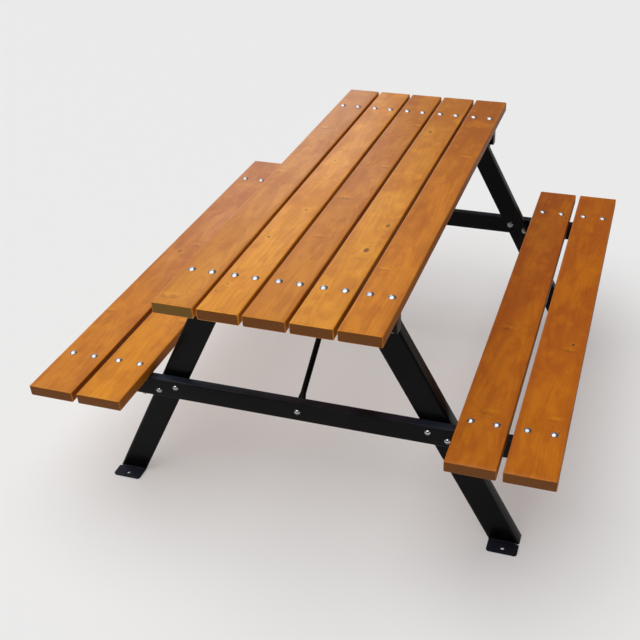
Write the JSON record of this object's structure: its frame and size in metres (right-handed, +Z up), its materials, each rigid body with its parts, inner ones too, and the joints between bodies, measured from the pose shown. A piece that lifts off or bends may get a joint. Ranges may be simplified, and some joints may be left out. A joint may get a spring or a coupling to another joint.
{
  "type": "picnic table",
  "caption": "Free-standing picnic table with a timber plank top and two plank benches bolted to two splayed black steel A-frames with anchor feet.",
  "frame": {"origin": "on the floor under the middle of the tabletop", "axes": "+X across the table to the right bench, +Y along the planks to the far end, +Z up"},
  "size_m": [1.43, 1.56, 0.76],
  "materials": {
    "table_wood": "satin amber-brown stain and varnish over knotty softwood, soft cloudy grain",
    "bench_wood": "satin amber-brown stain and varnish over knotty softwood, soft cloudy grain",
    "frame_coating": "semi-gloss black powder coat",
    "cap_plastic": "moulded black plastic",
    "bolt_steel": "polished stainless domed heads",
    "nut_steel": "plain stainless steel"
  },
  "bodies": {
    "root": {"top_plank_1": "table_wood", "top_plank_2": "table_wood", "top_plank_3": "table_wood", "top_plank_4": "table_wood", "top_plank_5": "table_wood", "left_bench_outer_plank": "bench_wood", "left_bench_inner_plank": "bench_wood", "right_bench_inner_plank": "bench_wood", "right_bench_outer_plank": "bench_wood", "near_left_leg": "frame_coating", "near_right_leg": "frame_coating", "far_left_leg": "frame_coating", "far_right_leg": "frame_coating", "near_crossbar": "frame_coating", "far_crossbar": "frame_coating", "near_top_rail": "frame_coating", "far_top_rail": "frame_coating", "near_crossbar_caps": "cap_plastic", "far_crossbar_caps": "cap_plastic", "near_rail_caps": "cap_plastic", "far_rail_caps": "cap_plastic", "near_brace": "frame_coating", "far_brace": "frame_coating", "table_bolts": "bolt_steel", "table_washers": "nut_steel", "table_nuts": "nut_steel", "bench_bolts": "bolt_steel", "bench_washers": "nut_steel", "bench_nuts": "nut_steel", "leg_bolts": "bolt_steel", "leg_washers": "nut_steel", "leg_nuts": "nut_steel", "rail_bolts": "bolt_steel", "rail_washers": "nut_steel", "rail_nuts": "nut_steel", "brace_bolts": "bolt_steel", "brace_washers": "nut_steel", "brace_nuts": "nut_steel", "brace_screws": "nut_steel"}
  },
  "joints": []
}
